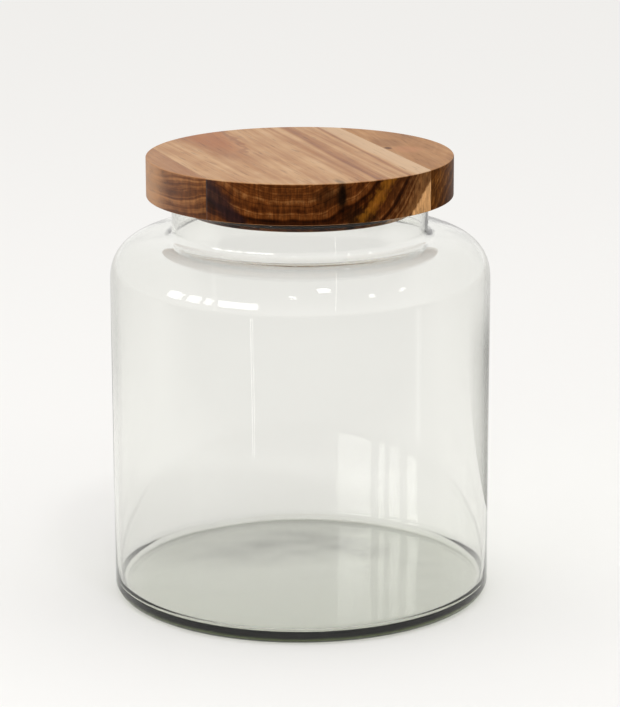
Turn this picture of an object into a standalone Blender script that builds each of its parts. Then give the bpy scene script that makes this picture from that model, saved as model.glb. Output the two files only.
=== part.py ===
"""Wide-mouth glass storage jar with a turned wooden push-in lid and a finned silicone seal.

Metres, +Z up. The origin is the centre of the base, on the surface that the jar stands on.
The jar's axis is Z. The lid's boards run along BOARD_ANGLE in plan.
"""

import math

import bmesh
import bpy
from mathutils import Matrix

MM = 0.001

# Driving dimensions of the glass
BODY_RADIUS = 105.0 * MM
WALL = 3.0 * MM
BASE_THICKNESS = 5.8 * MM
HEEL_RADIUS = 5.4 * MM
FLOOR_CORNER_RADIUS = 5.0 * MM
RESTING_RING_WIDTH = 9.0 * MM
PUSH_UP = 2.0 * MM
SHOULDER_TOP = 202.5 * MM
SHOULDER_DROP = 26.0 * MM
SHOULDER_FULLNESS = 2.4  # 2 is an ellipse's quarter, more is squarer
NECK_RADIUS = 70.6 * MM
NECK_FOOT_RADIUS = 4.2 * MM
RIM_HEIGHT = 223.6 * MM

# Driving dimensions of the lid and its seal
GAP = 0.3 * MM
LID_RADIUS = 84.2 * MM
LID_THICKNESS = 22.2 * MM
LID_EDGE_RADIUS = 0.8 * MM
PLUG_RADIUS = 61.7 * MM
PLUG_DEPTH = 8.0 * MM
PLUG_EDGE_RADIUS = 0.8 * MM
GROOVE_DEPTH = 2.2 * MM
GROOVE_HEIGHT = 4.4 * MM
GROOVE_DROP = 1.8 * MM
FIN_ROOT_THICKNESS = 1.1 * MM
FIN_TIP_THICKNESS = 0.6 * MM
FIN_RISE = 0.8 * MM
BAND_PROUD = 0.9 * MM
BOARD_ANGLE = math.radians(-69.9)
LEFT_GLUE_LINE = -69.7 * MM
RIGHT_GLUE_LINE = 49.2 * MM

# Turned shapes: how finely a full turn is divided
GLASS_STEPS = 72
LID_STEPS = 96
SEAL_STEPS = 72
MERGE = 0.00001

# Heights and radii that follow from the driving dimensions
LID_UNDERSIDE = RIM_HEIGHT + GAP
LID_TOP = LID_UNDERSIDE + LID_THICKNESS
PLUG_BOTTOM = LID_UNDERSIDE - PLUG_DEPTH
GROOVE_TOP = LID_UNDERSIDE - GROOVE_DROP
GROOVE_BOTTOM = GROOVE_TOP - GROOVE_HEIGHT
NECK_BORE_RADIUS = NECK_RADIUS - WALL


def clear_scene():
    for old in list(bpy.data.objects):
        bpy.data.objects.remove(old)


def new_collection(name):
    collection = bpy.data.collections.new(name)
    bpy.context.scene.collection.children.link(collection)
    return collection


def new_material(name, colour, roughness, transmission=0.0, ior=1.5):
    material = bpy.data.materials.new(name)
    material.use_nodes = True
    shader = material.node_tree.nodes["Principled BSDF"]
    shader.inputs["Base Color"].default_value = (*colour, 1.0)
    shader.inputs["Roughness"].default_value = roughness
    shader.inputs["Metallic"].default_value = 0.0
    shader.inputs["Transmission Weight"].default_value = transmission
    shader.inputs["IOR"].default_value = ior
    return material


def arc(centre, radius, start, end, steps):
    """Points on a round arc in the profile plane, from start to end degrees, both included."""
    points = []
    for step in range(steps + 1):
        angle = math.radians(start + (end - start) * step / steps)
        points.append((centre[0] + radius * math.cos(angle), centre[1] + radius * math.sin(angle)))
    return points


def shoulder_arc(centre, run, drop, steps):
    """The shoulder's quarter of a superellipse, from its widest point up to its level top."""
    points = []
    for step in range(steps + 1):
        angle = 0.5 * math.pi * step / steps
        across = max(math.cos(angle), 0.0) ** (2.0 / SHOULDER_FULLNESS)
        up = math.sin(angle) ** (2.0 / SHOULDER_FULLNESS)
        points.append((centre[0] + run * across, centre[1] + drop * up))
    return points


def turned(name, profile, closed, steps, material, collection):
    """A shape turned about Z from (radius, height) points at +X that run down its outer side."""
    mesh = bpy.data.meshes.new(name)
    shape = bmesh.new()
    verts = [shape.verts.new((radius, 0.0, height)) for radius, height in profile]
    for first, second in zip(verts, verts[1:]):
        shape.edges.new((first, second))
    if closed:
        shape.edges.new((verts[-1], verts[0]))
    shape.to_mesh(mesh)
    shape.free()
    mesh.materials.append(material)
    piece = bpy.data.objects.new(name, mesh)
    collection.objects.link(piece)
    screw = piece.modifiers.new("turn", "SCREW")
    screw.axis = "Z"
    screw.angle = 2.0 * math.pi
    screw.steps = steps
    screw.render_steps = steps
    screw.use_merge_vertices = True
    screw.merge_threshold = MERGE
    screw.use_smooth_shade = True
    return piece


def smooth_round_faces(piece, angle=math.radians(35.0)):
    """Bakes the modifiers into the mesh and shades it smooth except at its real edges."""
    graph = bpy.context.evaluated_depsgraph_get()
    mesh = bpy.data.meshes.new_from_object(piece.evaluated_get(graph), depsgraph=graph)
    piece.modifiers.clear()
    piece.data = mesh
    mesh.shade_smooth()
    mesh.set_sharp_from_angle(angle=angle)


def jar_profile():
    """From the middle of the floor, up inside, over the rim, and down the outer side to the base."""
    inner_radius = BODY_RADIUS - WALL
    shoulder_run = BODY_RADIUS - NECK_RADIUS - NECK_FOOT_RADIUS
    shoulder_centre = (NECK_RADIUS + NECK_FOOT_RADIUS, SHOULDER_TOP - SHOULDER_DROP)
    foot_centre = (NECK_RADIUS + NECK_FOOT_RADIUS, SHOULDER_TOP + NECK_FOOT_RADIUS)
    rim_radius = WALL / 2.0
    rim_centre = (NECK_RADIUS - rim_radius, RIM_HEIGHT - rim_radius)
    ring_inner_radius = BODY_RADIUS - HEEL_RADIUS - RESTING_RING_WIDTH
    floor_corner = (inner_radius - FLOOR_CORNER_RADIUS, BASE_THICKNESS + FLOOR_CORNER_RADIUS)
    floor_rise = 0.5 * PUSH_UP

    points = [(0.0, BASE_THICKNESS + floor_rise), (0.5 * ring_inner_radius, BASE_THICKNESS + 0.75 * floor_rise)]
    points += arc(floor_corner, FLOOR_CORNER_RADIUS, -90.0, 0.0, 5)
    points += shoulder_arc(shoulder_centre, shoulder_run - WALL, SHOULDER_DROP - WALL, 9)
    points += arc(foot_centre, NECK_FOOT_RADIUS + WALL, 270.0, 180.0, 4)[1:]
    points += arc(rim_centre, rim_radius, 180.0, 0.0, 6)
    points += arc(foot_centre, NECK_FOOT_RADIUS, 180.0, 270.0, 4)
    points += shoulder_arc(shoulder_centre, shoulder_run, SHOULDER_DROP, 11)[-2::-1]
    points += arc((BODY_RADIUS - HEEL_RADIUS, HEEL_RADIUS), HEEL_RADIUS, 0.0, -90.0, 5)
    points.append((ring_inner_radius, 0.0))
    points.append((0.5 * ring_inner_radius, 0.75 * PUSH_UP))
    points.append((0.0, PUSH_UP))
    return points


def lid_profile():
    """From the middle of the lid's top, down its outer side, under it and round the grooved plug."""
    edge_radius = LID_RADIUS - LID_EDGE_RADIUS
    points = [(0.0, LID_TOP)]
    points += arc((edge_radius, LID_TOP - LID_EDGE_RADIUS), LID_EDGE_RADIUS, 90.0, 0.0, 3)
    points += arc((edge_radius, LID_UNDERSIDE + LID_EDGE_RADIUS), LID_EDGE_RADIUS, 0.0, -90.0, 3)
    points.append((PLUG_RADIUS, LID_UNDERSIDE))
    points.append((PLUG_RADIUS, GROOVE_TOP))
    points.append((PLUG_RADIUS - GROOVE_DEPTH, GROOVE_TOP))
    points.append((PLUG_RADIUS - GROOVE_DEPTH, GROOVE_BOTTOM))
    points.append((PLUG_RADIUS, GROOVE_BOTTOM))
    plug_edge = (PLUG_RADIUS - PLUG_EDGE_RADIUS, PLUG_BOTTOM + PLUG_EDGE_RADIUS)
    points += arc(plug_edge, PLUG_EDGE_RADIUS, 0.0, -90.0, 2)
    points.append((0.0, PLUG_BOTTOM))
    return points


def fin(root_radius, root_bottom, tip_radius):
    """One fin of the seal, from its upper root round the tip to its lower root, rising outwards."""
    middle = root_bottom + 0.5 * FIN_ROOT_THICKNESS + FIN_RISE
    return [
        (root_radius, root_bottom + FIN_ROOT_THICKNESS),
        (tip_radius, middle + 0.5 * FIN_TIP_THICKNESS),
        (tip_radius, middle - 0.5 * FIN_TIP_THICKNESS),
        (root_radius, root_bottom),
    ]


def seal_profile():
    """A band that fills the groove, with two fins that reach the neck's bore."""
    inner = PLUG_RADIUS - GROOVE_DEPTH + GAP
    outer = PLUG_RADIUS + BAND_PROUD
    top = GROOVE_TOP - GAP
    bottom = GROOVE_BOTTOM + GAP
    tip = NECK_BORE_RADIUS - GAP
    points = [(inner, top)]
    points += fin(outer, top - FIN_ROOT_THICKNESS, tip)
    points += fin(outer, bottom, tip)
    points.append((inner, bottom))
    return points


def board_block(name, low, high, collection):
    """A block that holds one board of the lid: between two lines across the boards' direction."""
    reach = 1.2 * LID_RADIUS
    mesh = bpy.data.meshes.new(name)
    shape = bmesh.new()
    bmesh.ops.create_cube(shape, size=1.0)
    bmesh.ops.scale(shape, vec=(2.0 * reach, high - low, 2.0 * (LID_THICKNESS + PLUG_DEPTH)), verts=shape.verts)
    bmesh.ops.translate(shape, vec=(0.0, 0.5 * (low + high), LID_UNDERSIDE), verts=shape.verts)
    bmesh.ops.rotate(shape, matrix=Matrix.Rotation(BOARD_ANGLE, 3, "Z"), verts=shape.verts)
    shape.to_mesh(mesh)
    shape.free()
    block = bpy.data.objects.new(name, mesh)
    block.hide_render = True
    block.display_type = "WIRE"
    collection.objects.link(block)
    return block


def board(name, low, high, material, pieces, cutters):
    """One board of the turned lid: the whole turned shape, kept only inside its own block."""
    stave = turned(name, lid_profile(), False, LID_STEPS, material, pieces)
    keep = stave.modifiers.new("keep_board", "BOOLEAN")
    keep.operation = "INTERSECT"
    keep.solver = "EXACT"
    keep.object = board_block(name + "_block", low, high, cutters)
    smooth_round_faces(stave)
    return stave


def build():
    clear_scene()
    pieces = new_collection("glass_storage_jar")
    cutters = new_collection("cutters")

    glass = new_material("clear_glass", (0.93, 0.98, 0.95), 0.02, transmission=1.0)
    left_wood = new_material("acacia_left", (0.30, 0.17, 0.08), 0.45)
    middle_wood = new_material("acacia_middle", (0.36, 0.21, 0.11), 0.45)
    right_wood = new_material("acacia_right", (0.25, 0.14, 0.07), 0.45)
    silicone = new_material("silicone", (0.80, 0.81, 0.80), 0.40, transmission=0.4, ior=1.41)

    jar = turned("glass_jar", jar_profile(), False, GLASS_STEPS, glass, pieces)
    smooth_round_faces(jar)
    seal = turned("seal_ring", seal_profile(), True, SEAL_STEPS, silicone, pieces)
    smooth_round_faces(seal)

    past_the_rim = 1.1 * LID_RADIUS
    half_gap = 0.5 * GAP
    right_start = RIGHT_GLUE_LINE + half_gap
    left_end = LEFT_GLUE_LINE - half_gap
    board("lid_right_stave", right_start, past_the_rim, right_wood, pieces, cutters)
    middle_edges = (LEFT_GLUE_LINE + half_gap, RIGHT_GLUE_LINE - half_gap)
    board("lid_middle_stave", *middle_edges, middle_wood, pieces, cutters)
    board("lid_left_stave", -past_the_rim, left_end, left_wood, pieces, cutters)


build()
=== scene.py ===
"""Looks of a glass storage jar with a turned acacia lid and a silicone seal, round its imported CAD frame.

Every piece is made in the row frame, in metres, and rides on the CAD body of the piece it stands for.
"""
import math

import bmesh
import bpy
from mathutils import Matrix, Vector


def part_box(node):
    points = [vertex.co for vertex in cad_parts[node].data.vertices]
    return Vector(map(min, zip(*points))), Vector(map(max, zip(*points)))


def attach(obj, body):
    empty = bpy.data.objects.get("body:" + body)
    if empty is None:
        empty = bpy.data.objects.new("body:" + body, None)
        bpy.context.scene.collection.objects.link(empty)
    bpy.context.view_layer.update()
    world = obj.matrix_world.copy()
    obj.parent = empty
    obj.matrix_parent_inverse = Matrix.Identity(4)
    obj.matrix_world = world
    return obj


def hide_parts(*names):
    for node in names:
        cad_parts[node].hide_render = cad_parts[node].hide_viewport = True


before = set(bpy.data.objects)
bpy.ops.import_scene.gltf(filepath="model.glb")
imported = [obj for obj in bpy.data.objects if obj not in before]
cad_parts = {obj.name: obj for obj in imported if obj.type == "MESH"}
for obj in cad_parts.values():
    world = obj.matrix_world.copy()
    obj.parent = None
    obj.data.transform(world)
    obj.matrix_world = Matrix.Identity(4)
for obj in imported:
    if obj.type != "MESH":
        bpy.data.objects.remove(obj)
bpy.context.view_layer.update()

MM = 0.001

# ---------------------------------------------------------------- sizes read from the frame
JAR_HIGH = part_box("glass_jar")[1]
BODY_RADIUS = JAR_HIGH.x
RIM_HEIGHT = JAR_HIGH.z
LID_LOW, LID_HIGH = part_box("lid_middle_stave")
LID_TOP = LID_HIGH.z
PLUG_BOTTOM = LID_LOW.z
SEAL_LOW, SEAL_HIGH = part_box("seal_ring")
SEAL_RADIUS = SEAL_HIGH.x

# ---------------------------------------------------------------- sizes that the frame's boxes don't give
WALL = 3.0 * MM
BASE_THICKNESS = 5.8 * MM
HEEL_RADIUS = 5.4 * MM
FLOOR_CORNER_RADIUS = 5.0 * MM
RESTING_RING_WIDTH = 9.0 * MM
PUSH_UP = 2.0 * MM
FLOOR_RISE = 1.0 * MM
SHOULDER_TOP = 202.5 * MM
SHOULDER_DROP = 26.0 * MM
SHOULDER_FULLNESS = 2.4
NECK_RADIUS = 70.6 * MM
NECK_FOOT_RADIUS = 4.2 * MM
CONTACT_GAP = 0.3 * MM

LID_RADIUS = 84.2 * MM
LID_EDGE_RADIUS = 0.8 * MM
PLUG_RADIUS = 61.7 * MM
PLUG_EDGE_RADIUS = 0.8 * MM
GROOVE_DEPTH = 2.2 * MM
GROOVE_HEIGHT = 4.4 * MM
GROOVE_DROP = 1.8 * MM
FIN_ROOT_THICKNESS = 1.1 * MM
FIN_TIP_THICKNESS = 0.6 * MM
FIN_RISE = 0.8 * MM
BAND_PROUD = 0.9 * MM
BAND_CHAMFER = 0.2 * MM

LID_UNDERSIDE = RIM_HEIGHT + CONTACT_GAP
NECK_BORE_RADIUS = NECK_RADIUS - WALL
GROOVE_TOP = LID_UNDERSIDE - GROOVE_DROP
GROOVE_BOTTOM = GROOVE_TOP - GROOVE_HEIGHT

BOARD_ANGLE = math.radians(-69.9)
LEFT_GLUE_LINE = -69.7 * MM
RIGHT_GLUE_LINE = 49.2 * MM
GLUE_THICKNESS = 0.04 * MM

INNER_WANDER = 0.13 * MM
OUTER_WANDER = 0.06 * MM
EVEN_HEEL = 20 * MM
EVEN_RIM = 10 * MM

GLASS_STEPS = 256
LID_STEPS = 288
SEAL_STEPS = 192
SHARP_ANGLE = math.radians(35)


# ================================================================ mesh helpers
def arc(centre, radius, start, end, steps):
    """Points in (radius, height) on an arc, from angle start to angle end in degrees."""
    points = []
    for i in range(steps + 1):
        angle = math.radians(start + (end - start) * i / steps)
        points.append((centre[0] + radius * math.cos(angle), centre[1] + radius * math.sin(angle)))
    return points


def line(start, end, steps):
    """Points from start to end, without start itself."""
    return [
        (start[0] + (end[0] - start[0]) * i / steps, start[1] + (end[1] - start[1]) * i / steps)
        for i in range(1, steps + 1)
    ]


def dish(edge, rise, steps):
    """Points from edge, without edge itself, to the axis, over a shallow dome that rises by rise."""
    points = []
    for i in range(1, steps + 1):
        share = i / steps
        points.append((edge[0] * (1 - share), edge[1] + rise * math.sin(math.pi / 2 * share) ** 1.5))
    return points


def shoulder(run, drop, centre, steps):
    """A superellipse quarter from its top, over the centre, out and down to the wall."""
    points = []
    for i in range(steps + 1):
        angle = math.pi / 2 * (1 - i / steps)
        across = math.cos(angle) ** (2 / SHOULDER_FULLNESS) if i else 0.0
        up = math.sin(angle) ** (2 / SHOULDER_FULLNESS) if i < steps else 0.0
        points.append((centre[0] + run * across, centre[1] + drop * up))
    return points


def turned_mesh(name, profile, steps, wobble=None, inside_from=None):
    """A closed mesh turned round Z from (radius, height) points that run down the outside.

    The points start and end on the axis, or come round in a ring. wobble gives a small change of radius,
    and inside_from is the first point that belongs to the inner surface.
    """
    mesh = bpy.data.meshes.new(name)
    bm = bmesh.new()
    rings = []
    for index, (radius, height) in enumerate(profile):
        if radius < 1e-7:
            rings.append([bm.verts.new((0.0, 0.0, height))])
            continue
        ring = []
        for step in range(steps):
            angle = 2 * math.pi * step / steps
            reach = radius
            if wobble:
                reach += wobble(height, angle, index >= inside_from)
            ring.append(bm.verts.new((reach * math.cos(angle), reach * math.sin(angle), height)))
        rings.append(ring)
    for upper, lower in zip(rings, rings[1:] + rings[:1]):
        if len(upper) == len(lower) == 1:
            continue
        for step in range(steps):
            after = (step + 1) % steps
            if len(upper) == 1:
                bm.faces.new((upper[0], lower[step], lower[after]))
            elif len(lower) == 1:
                bm.faces.new((upper[step], lower[0], upper[after]))
            else:
                bm.faces.new((upper[step], lower[step], lower[after], upper[after]))
    bm.to_mesh(mesh)
    bm.free()
    return mesh


def show(mesh, material):
    """An object in the scene for a finished mesh, smooth but for its sharp edges."""
    mesh.shade_smooth()
    mesh.set_sharp_from_angle(angle=SHARP_ANGLE)
    piece = bpy.data.objects.new(mesh.name, mesh)
    bpy.context.scene.collection.objects.link(piece)
    piece.data.materials.append(material)
    return piece


def cut_side(bm, across, offset, keep_above):
    """Cuts the mesh at a plane whose normal is across, keeps one side and closes the cut."""
    normal = across if keep_above else -across
    cut = bmesh.ops.bisect_plane(
        bm,
        geom=bm.verts[:] + bm.edges[:] + bm.faces[:],
        plane_co=across * offset,
        plane_no=normal,
        dist=1e-7,
        clear_inner=True,
    )
    edges = [e for e in cut["geom_cut"] if isinstance(e, bmesh.types.BMEdge)]
    bmesh.ops.contextual_create(bm, geom=edges)


# ================================================================ shader helpers
class Shader:
    """Adds and links the nodes of one material. A value may be a number, a tuple or another node's output."""

    def __init__(self, name):
        self.material = bpy.data.materials.new(name)
        self.material.use_nodes = True
        self.tree = self.material.node_tree
        self.tree.nodes.clear()
        self.out = self.tree.nodes.new("ShaderNodeOutputMaterial")
        self.principled = self.add("BsdfPrincipled")
        self.link(self.principled.outputs["BSDF"], self.out.inputs["Surface"])

    def add(self, kind, **settings):
        node = self.tree.nodes.new("ShaderNode" + kind)
        for key, value in settings.items():
            setattr(node, key, value)
        return node

    def link(self, source, target):
        self.tree.links.new(source, target)

    def put(self, target, value):
        """Links value to the socket if it is an output, and sets it there otherwise."""
        if isinstance(value, bpy.types.NodeSocket):
            self.link(value, target)
        else:
            target.default_value = value

    def math(self, operation, *values):
        node = self.add("Math", operation=operation)
        for socket, value in zip(node.inputs, values):
            self.put(socket, value)
        return node.outputs[0]

    def vector(self, operation, *values):
        node = self.add("VectorMath", operation=operation)
        for socket, value in zip(node.inputs, values):
            self.put(socket, value)
        return node.outputs["Value" if operation in ("LENGTH", "DOT_PRODUCT") else "Vector"]

    def noise(self, at, scale, detail=2.0, roughness=0.5, dimensions="3D"):
        node = self.add("TexNoise", noise_dimensions=dimensions)
        self.put(node.inputs["W" if dimensions == "1D" else "Vector"], at)
        node.inputs["Scale"].default_value = scale
        node.inputs["Detail"].default_value = detail
        node.inputs["Roughness"].default_value = roughness
        return node.outputs["Fac"]

    def ramp(self, value, stops):
        """Colour stops as (place, colour), where a colour may be a single grey."""
        node = self.add("ValToRGB")
        elements = node.color_ramp.elements
        while len(elements) < len(stops):
            elements.new(0.5)
        for element, (place, colour) in zip(elements, stops):
            element.position = place
            grey = not hasattr(colour, "__len__")
            element.color = (colour,) * 3 + (1,) if grey else tuple(colour) + (1,)
        self.put(node.inputs["Fac"], value)
        return node.outputs["Color"]

    def step(self, value, low, high):
        """Runs smoothly from 0 at low to 1 at high."""
        node = self.add("MapRange", interpolation_type="SMOOTHSTEP")
        self.put(node.inputs["Value"], value)
        node.inputs["From Min"].default_value = low
        node.inputs["From Max"].default_value = high
        return node.outputs["Result"]

    def rest(self, share):
        """What share leaves of 1."""
        return self.math("SUBTRACT", 1.0, share)

    def times(self, *shares):
        product = shares[0]
        for share in shares[1:]:
            product = self.math("MULTIPLY", product, share)
        return product

    def parts(self, vector):
        """The X, Y and Z sockets of a vector."""
        split = self.add("SeparateXYZ")
        self.link(vector, split.inputs[0])
        return split.outputs

    def mix(self, share, first, second, blend="MIX"):
        node = self.add("Mix", data_type="RGBA", blend_type=blend)
        self.put(node.inputs[0], share)
        for socket, value in ((node.inputs[6], first), (node.inputs[7], second)):
            if isinstance(value, bpy.types.NodeSocket):
                self.link(value, socket)
            else:
                socket.default_value = tuple(value) + (1,)
        return node.outputs[2]

    def bump(self, height, strength, distance):
        node = self.add("Bump")
        node.inputs["Strength"].default_value = strength
        node.inputs["Distance"].default_value = distance
        self.put(node.inputs["Height"], height)
        return node.outputs["Normal"]


def linear(red, green, blue):
    """A colour given as 0 to 255 display values, as the linear values that shaders take."""
    channels = []
    for value in (red, green, blue):
        c = value / 255
        channels.append(c / 12.92 if c <= 0.04045 else ((c + 0.055) / 1.055) ** 2.4)
    return tuple(channels)


# ================================================================ materials
GRAIN = Vector((math.cos(BOARD_ANGLE), math.sin(BOARD_ANGLE), 0.0))
ACROSS = Vector((-math.sin(BOARD_ANGLE), math.cos(BOARD_ANGLE), 0.0))
LID_MIDDLE = (LID_TOP + LID_UNDERSIDE) / 2


class Board(Shader):
    """Solid wood as a 3-D pattern: growth rings round a pith line, with fibres and pores along the grain.

    Board coordinates are in millimetres: u across the boards, v along the grain and w up from the lid's
    middle. A squeeze scales them before a noise, so a small number draws the noise out along that axis.
    """

    RING_REACH = 150.0
    OIL_IOR = 1.46
    FACE_GLOSS = 0.28
    SIDE_GLOSS_GAIN = 0.20
    END_GRAIN_GLOSS_LOSS = 0.46
    PORE_COLOUR = linear(46, 24, 12)

    def __init__(self, name, pith, pith_tilt, wander, seed):
        super().__init__(name)
        coordinate = self.add("TexCoord")
        turned = self.add("Mapping")
        turned.inputs["Scale"].default_value = (1 / MM, 1 / MM, 1 / MM)
        turned.inputs["Rotation"].default_value = (0, 0, -math.atan2(ACROSS.y, ACROSS.x))
        turned.inputs["Location"].default_value = (0, 0, -LID_MIDDLE / MM)
        self.link(coordinate.outputs["Object"], turned.inputs["Vector"])
        self.u, back, self.w = self.parts(turned.outputs["Vector"])
        self.v = self.math("MULTIPLY", back, -1.0)
        self.place = self.joined(self.u, self.v, self.w)
        self.at = self.vector("ADD", self.place, (seed, seed * 1.7, seed * 0.6))

        # the turned side takes more oil than the faces, and most of it where the fibres end; its darker
        # palette also holds painted shade, as the side gets less light than the top
        facing = coordinate.outputs["Normal"]
        along = self.math("ABSOLUTE", self.vector("DOT_PRODUCT", facing, tuple(GRAIN)))
        level = self.math("ABSOLUTE", self.vector("DOT_PRODUCT", facing, (0, 0, 1)))
        self.end_grain = self.step(along, 0.12, 0.80)
        self.side = self.rest(self.step(level, 0.35, 0.85))

        slow = self.centred_noise((1, 0.10, 1), 0.035, 2.0)
        quick = self.centred_noise((1, 0.08, 1), 0.16, 2.0)
        du = self.math("SUBTRACT", self.u, self.math("MULTIPLY_ADD", self.v, pith_tilt[0], pith[0]))
        dw = self.math("SUBTRACT", self.w, self.math("MULTIPLY_ADD", self.v, pith_tilt[1], pith[1]))
        self.ring = self.vector("LENGTH", self.joined(du, dw, 0.0))
        self.ring = self.math("MULTIPLY_ADD", slow, wander, self.ring)
        self.ring = self.math("MULTIPLY_ADD", quick, wander * 0.22, self.ring)

        self.fibre = self.drawn_noise((1, 0.02, 0.30), 1.9, 3.0, 0.6)
        self.ray = self.drawn_noise((1, 0.02, 0.10), 1.05, 2.0, 0.6)
        self.streak = self.drawn_noise((1, 0.022, 0.8), 0.34, 2.0)
        self.pore = self.step(self.drawn_noise((1, 0.055, 1), 1.05, 1.0, 0.4), 0.64, 0.72)

    def joined(self, *values):
        node = self.add("CombineXYZ")
        for socket, value in zip(node.inputs, values):
            self.put(socket, value)
        return node.outputs[0]

    def drawn_noise(self, squeeze, scale, detail, roughness=0.5):
        """Noise round 0.5, drawn out by squeeze."""
        return self.noise(self.vector("MULTIPLY", self.at, squeeze), scale, detail, roughness)

    def centred_noise(self, squeeze, scale, detail):
        """Noise between about -1 and 1, drawn out by squeeze."""
        fac = self.drawn_noise(squeeze, scale, detail)
        return self.math("MULTIPLY", self.math("SUBTRACT", fac, 0.5), 2.6)

    def tone(self, zones, fine=0.30, streaks=0.20):
        """How light the wood is, from 0 to 1.

        The zones are (ring radius, tone). Finer rings, drifting clouds and streaks are laid over them.
        """
        stops = [(radius / self.RING_REACH, value) for radius, value in zones]
        zone = self.ramp(self.math("DIVIDE", self.ring, self.RING_REACH), stops)
        rings = self.noise(self.ring, 0.42, 3.0, 0.62, "1D")
        share = self.math("MULTIPLY_ADD", self.side, 0.9 * fine, 1.1 * fine)
        value = self.math("MULTIPLY_ADD", self.math("SUBTRACT", rings, 0.5), share, zone)
        cloud = self.on_faces(self.centred_noise((1, 0.45, 1), 0.065, 3.0))
        value = self.math("MULTIPLY_ADD", cloud, 0.16, value)
        return self.math("MULTIPLY_ADD", self.math("SUBTRACT", self.streak, 0.5), 2.0 * streaks, value)

    def slab(self, lean, middle, half_width, edge, wander=2.0):
        """1 in a slanting layer, where u + lean * w is within half_width of middle, and 0 outside it."""
        across = self.math("MULTIPLY_ADD", self.w, lean, self.u)
        across = self.math("MULTIPLY_ADD", self.math("SUBTRACT", self.streak, 0.5), 2.0 * wander, across)
        far = self.math("ABSOLUTE", self.math("SUBTRACT", across, middle))
        return self.rest(self.step(far, half_width - edge, half_width + edge))

    def patch(self, centre, radii, ragged=0.6):
        """1 in an uneven ellipsoid round centre, in board coordinates, and 0 outside it."""
        offset = self.vector("DIVIDE", self.vector("SUBTRACT", self.place, centre), radii)
        rough = self.centred_noise((1, 0.25, 1), 0.28, 2.0)
        far = self.math("MULTIPLY_ADD", rough, 0.5 * ragged, self.vector("LENGTH", offset))
        return self.rest(self.step(far, 0.55, 1.35))

    def on_faces(self, share):
        return self.times(share, self.rest(self.side))

    def tint(self, colour, share, strength, target):
        return self.mix(self.math("MULTIPLY", share, strength), colour, target)

    def coloured(self, tone, face, side):
        """The flat faces' palette, and the darker one of the turned side, dark partly from oil in the end
        grain and partly from painted shade.
        """
        return self.mix(self.side, self.ramp(tone, face), self.ramp(tone, side))

    def finish(self, colour, roughness, sheen=1.0):
        """Fibres, pores and a satin oil finish over the given colour."""
        grain = self.ramp(self.fibre, [(0.25, 0.80), (0.75, 1.14)])
        colour = self.mix(0.45, colour, grain, "MULTIPLY")
        rays = self.ramp(self.ray, [(0.30, 0.52), (0.50, 0.98), (0.72, 1.55)])
        ray_share = self.times(self.side, self.math("MULTIPLY_ADD", self.end_grain, 0.6, 0.2))
        colour = self.mix(ray_share, colour, rays, "MULTIPLY")
        dark = self.mix(0.6, colour, self.PORE_COLOUR)
        colour = self.mix(self.math("MULTIPLY", self.pore, 0.5), colour, dark)
        self.link(colour, self.principled.inputs["Base Color"])
        rough = self.ramp(self.fibre, [(0.2, roughness - 0.06), (0.8, roughness + 0.07)])
        self.link(rough, self.principled.inputs["Roughness"])
        gain = self.math("MULTIPLY_ADD", self.end_grain, -self.END_GRAIN_GLOSS_LOSS, self.SIDE_GLOSS_GAIN)
        gloss = self.math("MULTIPLY", self.math("MULTIPLY_ADD", self.side, gain, self.FACE_GLOSS), sheen)
        self.link(gloss, self.principled.inputs["Specular IOR Level"])
        self.principled.inputs["IOR"].default_value = self.OIL_IOR
        height = self.math("SUBTRACT", self.fibre, self.math("MULTIPLY", self.pore, 0.8))
        self.link(self.bump(height, 0.22, 0.12 * MM), self.principled.inputs["Normal"])
        return self.material


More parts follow.
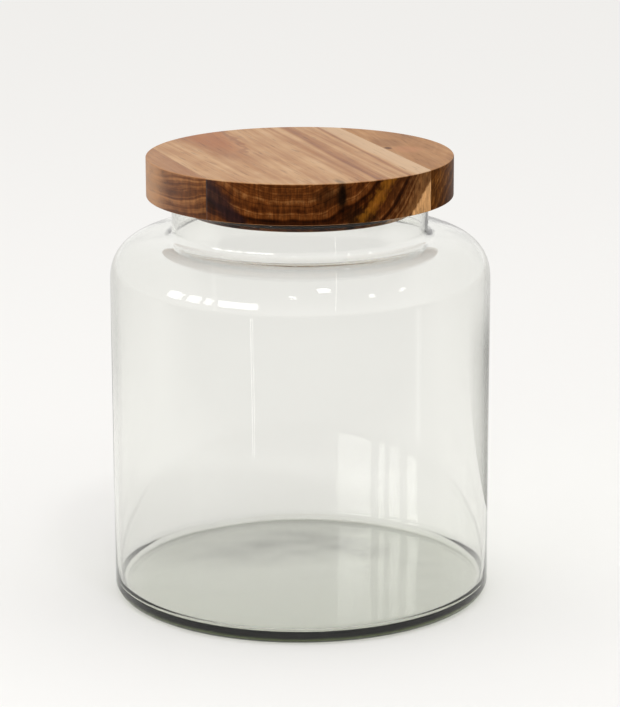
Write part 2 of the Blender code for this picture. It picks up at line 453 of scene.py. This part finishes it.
def middle_board():
    """Tan face grain with dark arcs on the end, a pale sapwood edge and a few dark gum streaks."""
    wood = Board("acacia_middle", pith=(-34, 49), pith_tilt=(0.0, 0.045), wander=3.4, seed=11.3)
    heart = [(0, 0.36), (30, 0.40), (36, 0.28), (39, 0.60), (46, 0.52)]
    middle = [(52, 0.62), (57, 0.44), (60.5, 0.66), (61.8, 0.34), (66, 0.34), (68.5, 0.58)]
    outer = [(74, 0.48), (78, 0.60), (80.2, 0.34), (82.5, 0.64), (95, 0.80)]
    tone = wood.tone(heart + middle + outer, fine=0.26)
    face = [
        (0.15, linear(130, 75, 38)),
        (0.40, linear(165, 113, 67)),
        (0.60, linear(188, 143, 98)),
        (0.85, linear(210, 172, 130)),
    ]
    # the side palette is dark from oil in the end grain and from painted shade
    side = [
        (0.15, linear(18, 4, 0)),
        (0.40, linear(52, 21, 3)),
        (0.60, linear(88, 46, 15)),
        (0.85, linear(140, 94, 52)),
    ]
    colour = wood.coloured(tone, face, side)
    flame = wood.on_faces(wood.patch((-31, -84, 11), (13, 66, 40), 0.5))
    colour = wood.tint(colour, flame, 0.60, linear(168, 98, 42))
    outline = wood.math("SUBTRACT", wood.step(flame, 0.10, 0.30), wood.step(flame, 0.34, 0.70))
    outline = wood.times(outline, wood.step(wood.u, -34, -24))
    colour = wood.tint(colour, outline, 0.55, linear(132, 74, 34))
    pale = wood.on_faces(wood.step(wood.math("MULTIPLY_ADD", wood.streak, 1.5, wood.u), 38.2, 39.6))
    colour = wood.tint(colour, pale, 0.66, linear(200, 166, 130))
    front = wood.step(wood.v, 12, 34)
    gum = wood.times(wood.slab(0.667, -64.4, 4.2, 2.4), front, wood.side)
    colour = wood.tint(colour, gum, 0.85, linear(34, 18, 18))
    gum_pocket = wood.patch((-7, 80, 4), (2.8, 12, 8))
    colour = wood.tint(colour, gum_pocket, 0.95, linear(10, 4, 1))
    upper_shade = wood.patch((-15, 80, 4), (8, 10, 5))
    colour = wood.tint(colour, upper_shade, 0.55, linear(26, 11, 3))
    lower_shade = wood.patch((3, 80, -8), (10, 12, 6))
    colour = wood.tint(colour, lower_shade, 0.80, linear(20, 8, 2))
    dusk = wood.times(wood.step(wood.u, 15, 24), wood.step(wood.v, 40, 52), wood.side)
    colour = wood.tint(colour, dusk, 0.34, linear(30, 12, 2))
    gold = wood.times(wood.slab(-0.85, 12, 3.0, 2.8, 6.0), wood.step(wood.v, 60, 72), wood.side)
    colour = wood.tint(colour, gold, 0.50, linear(138, 86, 20))
    edge = wood.math("MULTIPLY_ADD", wood.w, -0.86, wood.u)
    sapwood = wood.step(wood.math("MULTIPLY_ADD", wood.streak, 5.0, edge), 45.6, 47.6)
    colour = wood.tint(colour, wood.times(sapwood, wood.side), 0.92, linear(196, 148, 98))
    return wood.finish(colour, 0.46)


def left_board():
    """Mid brown, nearly flat rings on the side with golden streaks, and a painted sheen towards one end of
    the side.
    """
    wood = Board("acacia_left", pith=(-60, -110), pith_tilt=(0.0, 0.03), wander=5.0, seed=47.0)
    zones = [(0, 0.5), (100, 0.46), (106, 0.60), (111, 0.40), (116, 0.62), (124, 0.5)]
    tone = wood.tone(zones, fine=0.36)
    face = [
        (0.2, linear(128, 77, 43)),
        (0.5, linear(158, 107, 65)),
        (0.8, linear(184, 138, 95)),
    ]
    # the side palette is dark from oil in the end grain and from painted shade
    side = [
        (0.2, linear(54, 24, 5)),
        (0.5, linear(94, 51, 16)),
        (0.8, linear(148, 98, 54)),
    ]
    colour = wood.coloured(tone, face, side)
    # painted sheen: the side is lighter towards this end of the stave, as where it catches light at a grazing
    # angle
    painted_sheen = wood.times(wood.rest(wood.step(wood.v, 0, 22)), wood.side)
    colour = wood.tint(colour, painted_sheen, 0.68, linear(178, 131, 88))
    return wood.finish(colour, 0.46)


def right_board():
    """Darker brown with a curved figure and a small knot beside the glue line."""
    wood = Board("acacia_right", pith=(92, -30), pith_tilt=(-0.10, 0.10), wander=5.0, seed=83.0)
    zones = [(0, 0.5), (30, 0.42), (42, 0.56), (50, 0.40), (60, 0.58), (75, 0.44)]
    tone = wood.tone(zones, fine=0.26)
    face = [
        (0.2, linear(136, 90, 54)),
        (0.5, linear(170, 123, 80)),
        (0.8, linear(196, 152, 108)),
    ]
    # the side palette is dark from oil in the end grain and from painted shade
    side = [
        (0.2, linear(40, 18, 2)),
        (0.5, linear(80, 43, 8)),
        (0.8, linear(128, 82, 36)),
    ]
    colour = wood.coloured(tone, face, side)
    swirl = wood.on_faces(wood.patch((57, -14, 10), (9, 12, 12)))
    colour = wood.tint(colour, swirl, 0.45, linear(126, 82, 48))
    glow = wood.on_faces(wood.patch((60, 8, 10), (8, 9, 12)))
    colour = wood.tint(colour, glow, 0.45, linear(188, 130, 92))
    knot = wood.on_faces(wood.patch((51.5, 1, 10), (2.0, 3.2, 14), 0.3))
    colour = wood.tint(colour, knot, 0.85, linear(80, 44, 26))
    return wood.finish(colour, 0.50, sheen=0.45)


GLASS_IOR = 1.52
GLASS_DEPTH_COLOUR = (0.67, 0.70, 0.57, 1)
GLASS_DEPTH_DENSITY = 38.0
GLASS_SHADOW = (0.88, 0.89, 0.87, 1)

SILICONE_IOR = 1.41
# near-black: painted shade of the seal under the lid, over a translucent silicone
SILICONE_SHADE_COLOUR = (0.035, 0.024, 0.018, 1)


def clear_glass():
    """Clear soda-lime glass, faintly olive through its own thickness, with a fire-polished surface.

    Lamps shine straight through it and leave a pale shadow.
    """
    glass = Shader("clear_glass")
    body = glass.principled
    body.inputs["Base Color"].default_value = (1, 1, 1, 1)
    body.inputs["Transmission Weight"].default_value = 1.0
    body.inputs["Roughness"].default_value = 0.0
    body.inputs["IOR"].default_value = GLASS_IOR
    at = glass.add("TexCoord").outputs["Object"]
    drawn = glass.vector("MULTIPLY", at, (1, 1, 0.35))
    ripple = glass.noise(drawn, 26.0, 1.0)
    height = glass.parts(at)[2]
    pressed = glass.rest(glass.step(height, BASE_THICKNESS, 2.5 * BASE_THICKNESS))
    chill_marks = glass.times(glass.noise(at, 22.0, 1.0), pressed)
    ripple = glass.math("MULTIPLY_ADD", chill_marks, 0.3, ripple)
    glass.link(glass.bump(ripple, 0.12, 2 * MM), body.inputs["Normal"])
    lamps_pass = glass.add("BsdfTransparent")
    lamps_pass.inputs["Color"].default_value = GLASS_SHADOW
    either = glass.add("MixShader")
    glass.link(glass.add("LightPath").outputs["Is Shadow Ray"], either.inputs["Fac"])
    glass.link(body.outputs["BSDF"], either.inputs[1])
    glass.link(lamps_pass.outputs["BSDF"], either.inputs[2])
    glass.link(either.outputs["Shader"], glass.out.inputs["Surface"])
    depth = glass.add("VolumeAbsorption")
    depth.inputs["Color"].default_value = GLASS_DEPTH_COLOUR
    depth.inputs["Density"].default_value = GLASS_DEPTH_DENSITY
    glass.link(depth.outputs["Volume"], glass.out.inputs["Volume"])
    return glass.material


def silicone_painted_dark():
    """Translucent satin silicone, its colour near-black as painted shade, since the seal sits in the shade
    under the lid.
    """
    rubber = Shader("silicone")
    body = rubber.principled
    body.inputs["Base Color"].default_value = SILICONE_SHADE_COLOUR
    body.inputs["Transmission Weight"].default_value = 0.6
    body.inputs["Roughness"].default_value = 0.32
    body.inputs["Specular IOR Level"].default_value = 0.12
    body.inputs["IOR"].default_value = SILICONE_IOR
    skin = rubber.noise(rubber.add("TexCoord").outputs["Object"], 2400.0, 3.0)
    rubber.link(rubber.bump(skin, 0.15, 0.1 * MM), body.inputs["Normal"])
    return rubber.material


# ================================================================ pieces
def jar_profile():
    """The jar's section: (outside, inside), each a run of points from the rim down to the axis."""
    centre = (NECK_RADIUS + NECK_FOOT_RADIUS, SHOULDER_TOP - SHOULDER_DROP)
    foot = (centre[0], SHOULDER_TOP + NECK_FOOT_RADIUS)
    run = BODY_RADIUS - centre[0]
    rim = (NECK_RADIUS - WALL / 2, RIM_HEIGHT - WALL / 2)
    ring_inside = BODY_RADIUS - HEEL_RADIUS - RESTING_RING_WIDTH

    outside = arc(rim, WALL / 2, 90, 0, 8)
    outside += line(outside[-1], (NECK_RADIUS, foot[1]), 6)
    outside += arc(foot, NECK_FOOT_RADIUS, 180, 270, 14)[1:]
    outside += shoulder(run, SHOULDER_DROP, centre, 44)[1:]
    outside += line(outside[-1], (BODY_RADIUS, HEEL_RADIUS), 30)
    outside += arc((BODY_RADIUS - HEEL_RADIUS, HEEL_RADIUS), HEEL_RADIUS, 0, -90, 12)[1:]
    outside += line(outside[-1], (ring_inside, 0.0), 3)
    outside += dish((ring_inside, 0.0), PUSH_UP, 20)

    inner_wall = BODY_RADIUS - WALL
    corner = (inner_wall - FLOOR_CORNER_RADIUS, BASE_THICKNESS + FLOOR_CORNER_RADIUS)
    inside = arc(rim, WALL / 2, 90, 180, 8)[1:]
    inside += line(inside[-1], (NECK_BORE_RADIUS, foot[1]), 6)
    inside += arc(foot, NECK_FOOT_RADIUS + WALL, 180, 270, 14)[1:]
    inside += shoulder(run - WALL, SHOULDER_DROP - WALL, centre, 44)[1:]
    inside += line(inside[-1], (inner_wall, corner[1]), 30)
    inside += arc(corner, FLOOR_CORNER_RADIUS, 0, -90, 12)[1:]
    inside += dish(inside[-1], FLOOR_RISE, 20)
    return outside, inside


def blown_wobble(height, angle, inside):
    """How far the wall wanders, as blown glass does: by 0.3 mm at most, and outside only inwards."""
    slow = math.sin(2 * angle + 9 * height + 0.8) + 0.6 * math.sin(3 * angle - 14 * height + 2.1)
    quick = 0.35 * math.sin(7 * angle + 31 * height) + 0.3 * math.sin(11 * angle - 23 * height + 1.0)
    share = min(1.0, height / EVEN_HEEL) * min(1.0, max(0.0, (RIM_HEIGHT - height) / EVEN_RIM))
    if inside:
        return INNER_WANDER * (slow - quick) * share
    most = 1 + 0.6 + 0.35 + 0.3
    return -OUTER_WANDER * (most + slow + quick) * share


def lid_profile():
    """The lid blank's section: down the outside, along the underside and round the plug with its groove."""
    top = LID_TOP - LID_EDGE_RADIUS
    side = LID_RADIUS - LID_EDGE_RADIUS
    points = [(0.0, LID_TOP)]
    points += line(points[-1], (side, LID_TOP), 24)
    points += arc((side, top), LID_EDGE_RADIUS, 90, 0, 8)[1:]
    points += line(points[-1], (LID_RADIUS, LID_UNDERSIDE + LID_EDGE_RADIUS), 6)
    points += arc((side, LID_UNDERSIDE + LID_EDGE_RADIUS), LID_EDGE_RADIUS, 0, -90, 8)[1:]
    points += line(points[-1], (PLUG_RADIUS, LID_UNDERSIDE), 6)
    points += line(points[-1], (PLUG_RADIUS, GROOVE_TOP), 1)
    points += line(points[-1], (PLUG_RADIUS - GROOVE_DEPTH, GROOVE_TOP), 1)
    points += line(points[-1], (PLUG_RADIUS - GROOVE_DEPTH, GROOVE_BOTTOM), 1)
    points += line(points[-1], (PLUG_RADIUS, GROOVE_BOTTOM), 1)
    edge = (PLUG_RADIUS - PLUG_EDGE_RADIUS, PLUG_BOTTOM + PLUG_EDGE_RADIUS)
    points += line(points[-1], (PLUG_RADIUS, edge[1]), 1)
    points += arc(edge, PLUG_EDGE_RADIUS, 0, -90, 5)[1:]
    points += line(points[-1], (0.0, PLUG_BOTTOM), 16)
    return points


def fin(root_middle, root_radius, tip_radius):
    """One fin of the seal, from the band out to a rounded tip that points a little up."""
    tip = (tip_radius - FIN_TIP_THICKNESS / 2, root_middle + FIN_RISE)
    points = [(root_radius, root_middle + FIN_ROOT_THICKNESS / 2)]
    points += arc(tip, FIN_TIP_THICKNESS / 2, 80, -80, 6)
    points += [(root_radius, root_middle - FIN_ROOT_THICKNESS / 2)]
    return points


def seal_profile():
    """The seal's section: a band in the groove, with two fins."""
    inside = PLUG_RADIUS - GROOVE_DEPTH + CONTACT_GAP
    band = PLUG_RADIUS + BAND_PROUD
    top, bottom = SEAL_HIGH.z, SEAL_LOW.z
    quarter = (top - bottom) / 4
    points = [(inside, top), (band - BAND_CHAMFER, top), (band, top - BAND_CHAMFER)]
    points += fin(top - quarter, band, SEAL_RADIUS)
    points += fin(bottom + quarter, band, SEAL_RADIUS)
    points += [(band, bottom + BAND_CHAMFER), (band - BAND_CHAMFER, bottom), (inside, bottom)]
    return points


def make_jar():
    outside, inside = jar_profile()
    profile = outside + inside[::-1]
    mesh = turned_mesh("glass_jar_body", profile, GLASS_STEPS, blown_wobble, len(outside))
    piece = show(mesh, clear_glass())
    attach(piece, "jar")
    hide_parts("glass_jar")


def make_seal():
    mesh = turned_mesh("silicone_seal", seal_profile(), SEAL_STEPS)
    piece = show(mesh, silicone_painted_dark())
    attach(piece, "seal")
    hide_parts("seal_ring")


def make_board(name, low, high, material, node):
    """One stave of the lid, between two glue lines at distances low and high across the boards."""
    mesh = turned_mesh(name, lid_profile(), LID_STEPS)
    bm = bmesh.new()
    bm.from_mesh(mesh)
    if low is not None:
        cut_side(bm, ACROSS, low + GLUE_THICKNESS / 2, True)
    if high is not None:
        cut_side(bm, ACROSS, high - GLUE_THICKNESS / 2, False)
    bmesh.ops.recalc_face_normals(bm, faces=bm.faces[:])
    bm.to_mesh(mesh)
    bm.free()
    piece = show(mesh, material)
    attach(piece, "lid")
    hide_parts(node)


make_jar()
make_seal()
make_board("lid_board_left", None, LEFT_GLUE_LINE, left_board(), "lid_left_stave")
make_board(
    "lid_board_middle", LEFT_GLUE_LINE, RIGHT_GLUE_LINE, middle_board(), "lid_middle_stave"
)
make_board("lid_board_right", RIGHT_GLUE_LINE, None, right_board(), "lid_right_stave")


# ================================================================ stage
FLOOR_REACH = 9.0
FLOOR_CLEARANCE = 0.1 * MM
FLOOR_COLOUR = (0.88, 0.875, 0.865)

# What reflections see: distances from the jar where the worktop gives way to a dark room and where that
# fades away again, and how dark it is in front of the jar and behind it, changing over a stretch of Y.
DARK_ROOM = (0.03, 0.03, 0.03)
WORKTOP_ENDS = (0.32, 0.60)
ROOM_FADES = (1.0, 4.0)
DARKNESS_IN_FRONT = 0.84
DARKNESS_BEHIND = 0.18
FRONT_TO_BEHIND = (-0.40, 0.0)

WORLD_COLOUR = (1.0, 0.99, 0.975, 1)
WORLD_STRENGTH = 0.97

# Directions are (azimuth, elevation) in degrees, and radiance is a softbox's brightness per area.
LAMP_DISTANCE = 1.9
LAMP_AIM = Vector((0, 0, 0.15))
KEY_DIRECTION = (22, 62)
KEY_SIZE = (0.19, 0.19)
KEY_RADIANCE = 28.0
SPOT_DIRECTIONS = ((-6, 43), (47, 35), (72, 36))
SPOT_SIZE = (0.12, 0.10)
SPOT_RADIANCE = 9.0

WINDOW_DISTANCE = 2.0
WINDOW_AIM = Vector((0, 0, 0.19))
WINDOW_ELEVATION = 14
PANE_AZIMUTHS_AND_WIDTHS = ((-80.5, 0.29), (-65.9, 0.27), (-56.0, 0.14), (-37.0, 0.82))
PANE_HEIGHT = 0.48
PANE_RADIANCE = 4.6

STRIP_DISTANCE = 0.36
STRIP_FOOT = 25 * MM
STRIP_HEIGHT = 115 * MM

BESIDE_THE_JAR = BODY_RADIUS + 3 * MM

SENSOR_WIDTH = 36
LENS = 150.3
CAMERA_PLACE = Vector((0.0, -15.12, 5.21)) * BODY_RADIUS
CAMERA_YAW = 0.0033
CAMERA_PITCH = math.radians(14.6)
CAMERA_ROLL = math.radians(-0.19)


def direction(azimuth, elevation):
    """A unit vector; azimuth 0 is towards the viewer (-Y) and 90 to the right (+X), in degrees."""
    a, e = math.radians(azimuth), math.radians(elevation)
    return Vector((math.sin(a) * math.cos(e), -math.cos(a) * math.cos(e), math.sin(e)))


def area_light(name, place, size, radiance):
    """A rectangular softbox of the given brightness per area, seen by reflections but not by the camera."""
    data = bpy.data.lights.new(name, "AREA")
    data.shape = "RECTANGLE"
    data.size, data.size_y = size
    data.energy = radiance * size[0] * size[1] * math.pi
    lamp = bpy.data.objects.new(name, data)
    lamp.location = place
    lamp.visible_camera = False
    bpy.context.scene.collection.objects.link(lamp)
    return lamp


def aimed_light(name, towards, distance, size, radiance, aim=LAMP_AIM):
    """A softbox at a distance from aim, facing it; towards is its (azimuth, elevation) as seen from aim."""
    lamp = area_light(name, aim + direction(*towards) * distance, size, radiance)
    lamp.rotation_euler = (aim - lamp.location).to_track_quat("-Z", "Y").to_euler()


def make_strip(name, azimuth, width, radiance):
    """An upright strip of light near the jar, for one vertical glint on the glass."""
    middle = direction(azimuth, 0) * STRIP_DISTANCE + Vector((0, 0, STRIP_FOOT + STRIP_HEIGHT / 2))
    strip = area_light(name, middle, (width, STRIP_HEIGHT), radiance)
    strip.rotation_euler = direction(azimuth, 0).to_track_quat("Z", "Y").to_euler()


def grid_object(name, size, move):
    """A single square face in the XY plane, moved before it becomes an object."""
    mesh = bpy.data.meshes.new(name)
    bm = bmesh.new()
    bmesh.ops.create_grid(bm, x_segments=1, y_segments=1, size=size)
    bmesh.ops.translate(bm, vec=move, verts=bm.verts[:])
    bm.to_mesh(mesh)
    bm.free()
    square = bpy.data.objects.new(name, mesh)
    bpy.context.scene.collection.objects.link(square)
    return square


def make_flag(name, near, far, height, droop, grey):
    """A dark card standing beside the jar, seen only in reflections: it gives the clear glass its edges.

    It runs over the floor from near to far, and fades away towards its top and both of its ends.
    Its top edge falls by droop of its height along its run, so the neck and the shoulder see little of it.
    """
    run = Vector(far) - Vector(near)
    card = grid_object(name, 0.5, (0.5, 0.5, 0))
    card.location = (near[0], near[1], 0)
    card.scale = (run.length, height, 1)
    card.rotation_euler = (math.radians(90), 0, math.atan2(run.y, run.x))
    card.visible_camera = False
    card.visible_diffuse = False
    card.visible_transmission = False
    card.visible_shadow = False
    cloth = Shader(name)
    cloth.principled.inputs["Base Color"].default_value = (grey, grey, grey, 1)
    cloth.principled.inputs["Roughness"].default_value = 1.0
    along, up, _ = cloth.parts(cloth.add("TexCoord").outputs["Object"])
    ends = cloth.times(cloth.step(along, 0.0, 0.12), cloth.rest(cloth.step(along, 0.35, 1.0)))
    top = cloth.rest(cloth.step(cloth.math("MULTIPLY_ADD", along, droop, up), 0.70, 1.0))
    cloth.link(cloth.times(ends, top), cloth.principled.inputs["Alpha"])
    card.data.materials.append(cloth.material)


def make_floor():
    """A plain pale floor that reflections see as a worktop, with a darker room beyond its front edge."""
    floor = grid_object("floor", FLOOR_REACH, (0, 0, -FLOOR_CLEARANCE))
    paint = Shader("pale_floor")
    paint.principled.inputs["Roughness"].default_value = 0.6
    paint.principled.inputs["Specular IOR Level"].default_value = 0.0
    at = paint.add("TexCoord").outputs["Object"]
    reach = paint.vector("LENGTH", at)
    room = paint.math("SUBTRACT", paint.step(reach, *WORKTOP_ENDS), paint.step(reach, *ROOM_FADES))
    behind = paint.step(paint.parts(at)[1], *FRONT_TO_BEHIND)
    dark = paint.math("MULTIPLY_ADD", behind, DARKNESS_BEHIND - DARKNESS_IN_FRONT, DARKNESS_IN_FRONT)
    mirrored = paint.math("GREATER_THAN", paint.add("LightPath").outputs["Glossy Depth"], 0.5)
    colour = paint.mix(paint.times(room, dark, mirrored), FLOOR_COLOUR, DARK_ROOM)
    paint.link(colour, paint.principled.inputs["Base Color"])
    floor.data.materials.append(paint.material)


def make_lights():
    """A pale room, two upright strips, a lamp above, three small spots, and a four-pane window."""
    world = bpy.data.worlds.new("studio")
    world.use_nodes = True
    background = world.node_tree.nodes["Background"]
    background.inputs["Color"].default_value = WORLD_COLOUR
    background.inputs["Strength"].default_value = WORLD_STRENGTH
    bpy.context.scene.world = world
    make_strip("strip_left", -24.8, 2.2 * MM, 4.5)
    make_strip("strip_right", 65, 18 * MM, 0.5)
    aimed_light("key", KEY_DIRECTION, LAMP_DISTANCE, KEY_SIZE, KEY_RADIANCE)
    for towards in SPOT_DIRECTIONS:
        aimed_light("spot", towards, LAMP_DISTANCE, SPOT_SIZE, SPOT_RADIANCE)
    for azimuth, width in PANE_AZIMUTHS_AND_WIDTHS:
        towards = (azimuth, WINDOW_ELEVATION)
        size = (width, PANE_HEIGHT)
        aimed_light("window_pane", towards, WINDOW_DISTANCE, size, PANE_RADIANCE, WINDOW_AIM)


def make_camera():
    """A long lens a little above the lid, looking down at the jar."""
    camera = bpy.data.objects.new("camera", bpy.data.cameras.new("camera"))
    camera.data.sensor_width = SENSOR_WIDTH
    camera.data.lens = LENS
    level = Vector((math.sin(CAMERA_YAW), math.cos(CAMERA_YAW), 0.0))
    forward = math.cos(CAMERA_PITCH) * level - math.sin(CAMERA_PITCH) * Vector((0, 0, 1))
    right = Vector((math.cos(CAMERA_YAW), -math.sin(CAMERA_YAW), 0.0))
    up = right.cross(forward)
    rolled_right = math.cos(CAMERA_ROLL) * right + math.sin(CAMERA_ROLL) * up
    rolled_up = math.cos(CAMERA_ROLL) * up - math.sin(CAMERA_ROLL) * right
    turn = Matrix((rolled_right, rolled_up, -forward)).transposed()
    camera.matrix_world = Matrix.Translation(CAMERA_PLACE) @ turn.to_4x4()
    bpy.context.scene.collection.objects.link(camera)
    bpy.context.scene.camera = camera


make_floor()
make_flag("flag_right", near=(BESIDE_THE_JAR, 0.12), far=(0.62, 0.25), height=0.15, droop=0.75, grey=0.02)
make_flag("flag_left", near=(-BESIDE_THE_JAR, 0.14), far=(-0.18, 0.26), height=0.15, droop=0.40, grey=0.30)
make_lights()
make_camera()
bpy.context.scene.view_settings.view_transform = "Standard"
